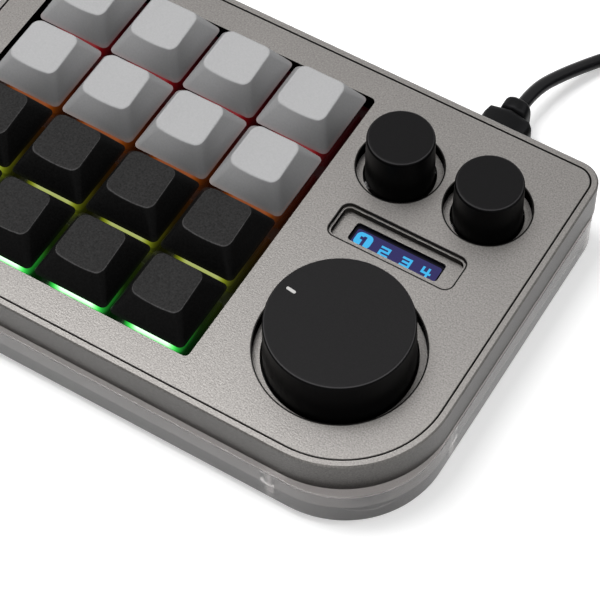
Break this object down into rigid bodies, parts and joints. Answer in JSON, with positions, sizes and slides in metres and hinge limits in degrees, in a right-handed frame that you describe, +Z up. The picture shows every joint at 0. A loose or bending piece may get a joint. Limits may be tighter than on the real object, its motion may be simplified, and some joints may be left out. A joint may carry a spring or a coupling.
{
  "type": "macro keypad",
  "caption": "Low desktop keypad: square keys beside a small display, a large dial and smaller knobs that turn and press, in a metal case on a clear base with a cord.",
  "frame": {"origin": "on the desk, under the middle of the base tray, cord left out", "axes": "+X to the right, along the long side; +Y to the back, where the cord leaves; +Z up"},
  "size_m": [0.1945, 0.1619, 0.032],
  "materials": {
    "anodised_metal": "bead-blasted and anodised, warm light grey",
    "smoked_plastic": "frosted, lightly smoked, lets light through",
    "steel_plate": "black powder coat",
    "board_laminate": "black solder mask",
    "diode_plastic": "clear diode body",
    "bright_metal": "plated",
    "display_glass": "dark glass over a lit panel",
    "black_steel": "black oxide",
    "foot_rubber": "soft black rubber",
    "switch_nylon": "black nylon",
    "switch_clear": "clear moulding",
    "black_moulding": "soft black overmould",
    "cord_jacket": "smooth black jacket",
    "black_keycap": "fine texture, black",
    "grey_keycap": "fine texture, light grey",
    "stem_plastic": "switch stem",
    "knob_black": "satin black"
  },
  "bodies": {
    "chassis": {"top_plate": "anodised_metal", "outer_frame": "anodised_metal", "base_tray": "smoked_plastic", "switch_plate": "steel_plate", "circuit_board": "board_laminate", "controller_chip": "black_moulding", "light_diodes": "diode_plastic", "usb_socket": "bright_metal", "display_module": "display_glass", "case_screws": "black_steel", "rubber_feet": "foot_rubber", "switch_lower_housings": "switch_nylon", "switch_upper_housings": "switch_clear", "switch_springs": "bright_metal", "encoder_bodies": "bright_metal", "usb_plug": "black_moulding", "usb_cord": "cord_jacket", "cord_coil": "cord_jacket", "computer_plug": "black_moulding"},
    "key_r1_c1": {"keycap_r1_c1": "black_keycap", "key_stem_r1_c1": "stem_plastic"},
    "key_r1_c2": {"keycap_r1_c2": "black_keycap", "key_stem_r1_c2": "stem_plastic"},
    "key_r1_c3": {"keycap_r1_c3": "black_keycap", "key_stem_r1_c3": "stem_plastic"},
    "key_r1_c4": {"keycap_r1_c4": "black_keycap", "key_stem_r1_c4": "stem_plastic"},
    "key_r2_c1": {"keycap_r2_c1": "black_keycap", "key_stem_r2_c1": "stem_plastic"},
    "key_r2_c2": {"keycap_r2_c2": "black_keycap", "key_stem_r2_c2": "stem_plastic"},
    "key_r2_c3": {"keycap_r2_c3": "black_keycap", "key_stem_r2_c3": "stem_plastic"},
    "key_r2_c4": {"keycap_r2_c4": "black_keycap", "key_stem_r2_c4": "stem_plastic"},
    "key_r3_c1": {"keycap_r3_c1": "grey_keycap", "key_stem_r3_c1": "stem_plastic"},
    "key_r3_c2": {"keycap_r3_c2": "grey_keycap", "key_stem_r3_c2": "stem_plastic"},
    "key_r3_c3": {"keycap_r3_c3": "grey_keycap", "key_stem_r3_c3": "stem_plastic"},
    "key_r3_c4": {"keycap_r3_c4": "grey_keycap", "key_stem_r3_c4": "stem_plastic"},
    "key_r4_c1": {"keycap_r4_c1": "grey_keycap", "key_stem_r4_c1": "stem_plastic"},
    "key_r4_c2": {"keycap_r4_c2": "grey_keycap", "key_stem_r4_c2": "stem_plastic"},
    "key_r4_c3": {"keycap_r4_c3": "grey_keycap", "key_stem_r4_c3": "stem_plastic"},
    "key_r4_c4": {"keycap_r4_c4": "grey_keycap", "key_stem_r4_c4": "stem_plastic"},
    "dial_turner": {"dial_rotor": "switch_nylon"},
    "dial_grip": {"dial": "knob_black", "dial_shaft": "bright_metal"},
    "left_knob_turner": {"left_knob_rotor": "switch_nylon"},
    "left_knob_grip": {"left_knob": "knob_black", "left_knob_shaft": "bright_metal"},
    "right_knob_turner": {"right_knob_rotor": "switch_nylon"},
    "right_knob_grip": {"right_knob": "knob_black", "right_knob_shaft": "bright_metal"}
  },
  "joints": [
    {"name": "key_r1_c1_press", "type": "slide", "parent": "chassis", "child": "key_r1_c1", "axis": [0, 0, -1], "range_m": [0, 0.004], "stiffness_N_per_m": 120, "springref_m": -0.0025, "deforming": ["switch_springs"]},
    {"name": "key_r1_c2_press", "type": "slide", "parent": "chassis", "child": "key_r1_c2", "axis": [0, 0, -1], "range_m": [0, 0.004], "stiffness_N_per_m": 120, "springref_m": -0.0025, "deforming": ["switch_springs"]},
    {"name": "key_r1_c3_press", "type": "slide", "parent": "chassis", "child": "key_r1_c3", "axis": [0, 0, -1], "range_m": [0, 0.004], "stiffness_N_per_m": 120, "springref_m": -0.0025, "deforming": ["switch_springs"]},
    {"name": "key_r1_c4_press", "type": "slide", "parent": "chassis", "child": "key_r1_c4", "axis": [0, 0, -1], "range_m": [0, 0.004], "stiffness_N_per_m": 120, "springref_m": -0.0025, "deforming": ["switch_springs"]},
    {"name": "key_r2_c1_press", "type": "slide", "parent": "chassis", "child": "key_r2_c1", "axis": [0, 0, -1], "range_m": [0, 0.004], "stiffness_N_per_m": 120, "springref_m": -0.0025, "deforming": ["switch_springs"]},
    {"name": "key_r2_c2_press", "type": "slide", "parent": "chassis", "child": "key_r2_c2", "axis": [0, 0, -1], "range_m": [0, 0.004], "stiffness_N_per_m": 120, "springref_m": -0.0025, "deforming": ["switch_springs"]},
    {"name": "key_r2_c3_press", "type": "slide", "parent": "chassis", "child": "key_r2_c3", "axis": [0, 0, -1], "range_m": [0, 0.004], "stiffness_N_per_m": 120, "springref_m": -0.0025, "deforming": ["switch_springs"]},
    {"name": "key_r2_c4_press", "type": "slide", "parent": "chassis", "child": "key_r2_c4", "axis": [0, 0, -1], "range_m": [0, 0.004], "stiffness_N_per_m": 120, "springref_m": -0.0025, "deforming": ["switch_springs"]},
    {"name": "key_r3_c1_press", "type": "slide", "parent": "chassis", "child": "key_r3_c1", "axis": [0, 0, -1], "range_m": [0, 0.004], "stiffness_N_per_m": 120, "springref_m": -0.0025, "deforming": ["switch_springs"]},
    {"name": "key_r3_c2_press", "type": "slide", "parent": "chassis", "child": "key_r3_c2", "axis": [0, 0, -1], "range_m": [0, 0.004], "stiffness_N_per_m": 120, "springref_m": -0.0025, "deforming": ["switch_springs"]},
    {"name": "key_r3_c3_press", "type": "slide", "parent": "chassis", "child": "key_r3_c3", "axis": [0, 0, -1], "range_m": [0, 0.004], "stiffness_N_per_m": 120, "springref_m": -0.0025, "deforming": ["switch_springs"]},
    {"name": "key_r3_c4_press", "type": "slide", "parent": "chassis", "child": "key_r3_c4", "axis": [0, 0, -1], "range_m": [0, 0.004], "stiffness_N_per_m": 120, "springref_m": -0.0025, "deforming": ["switch_springs"]},
    {"name": "key_r4_c1_press", "type": "slide", "parent": "chassis", "child": "key_r4_c1", "axis": [0, 0, -1], "range_m": [0, 0.004], "stiffness_N_per_m": 120, "springref_m": -0.0025, "deforming": ["switch_springs"]},
    {"name": "key_r4_c2_press", "type": "slide", "parent": "chassis", "child": "key_r4_c2", "axis": [0, 0, -1], "range_m": [0, 0.004], "stiffness_N_per_m": 120, "springref_m": -0.0025, "deforming": ["switch_springs"]},
    {"name": "key_r4_c3_press", "type": "slide", "parent": "chassis", "child": "key_r4_c3", "axis": [0, 0, -1], "range_m": [0, 0.004], "stiffness_N_per_m": 120, "springref_m": -0.0025, "deforming": ["switch_springs"]},
    {"name": "key_r4_c4_press", "type": "slide", "parent": "chassis", "child": "key_r4_c4", "axis": [0, 0, -1], "range_m": [0, 0.004], "stiffness_N_per_m": 120, "springref_m": -0.0025, "deforming": ["switch_springs"]},
    {"name": "dial_turn", "type": "hinge", "parent": "chassis", "child": "dial_turner", "pos_m": [0.0432, -0.01948, 0.0215], "axis": [0, 0, 1], "continuous": true},
    {"name": "dial_press", "type": "slide", "parent": "dial_turner", "child": "dial_grip", "axis": [0, 0, -1], "range_m": [0, 0.0005], "stiffness_N_per_m": 1500, "springref_m": -0.001},
    {"name": "left_knob_turn", "type": "hinge", "parent": "chassis", "child": "left_knob_turner", "pos_m": [0.0309, 0.02659, 0.0215], "axis": [0, 0, 1], "continuous": true},
    {"name": "left_knob_press", "type": "slide", "parent": "left_knob_turner", "child": "left_knob_grip", "axis": [0, 0, -1], "range_m": [0, 0.0005], "stiffness_N_per_m": 1500, "springref_m": -0.001},
    {"name": "right_knob_turn", "type": "hinge", "parent": "chassis", "child": "right_knob_turner", "pos_m": [0.0525, 0.02659, 0.0215], "axis": [0, 0, 1], "continuous": true},
    {"name": "right_knob_press", "type": "slide", "parent": "right_knob_turner", "child": "right_knob_grip", "axis": [0, 0, -1], "range_m": [0, 0.0005], "stiffness_N_per_m": 1500, "springref_m": -0.001}
  ]
}
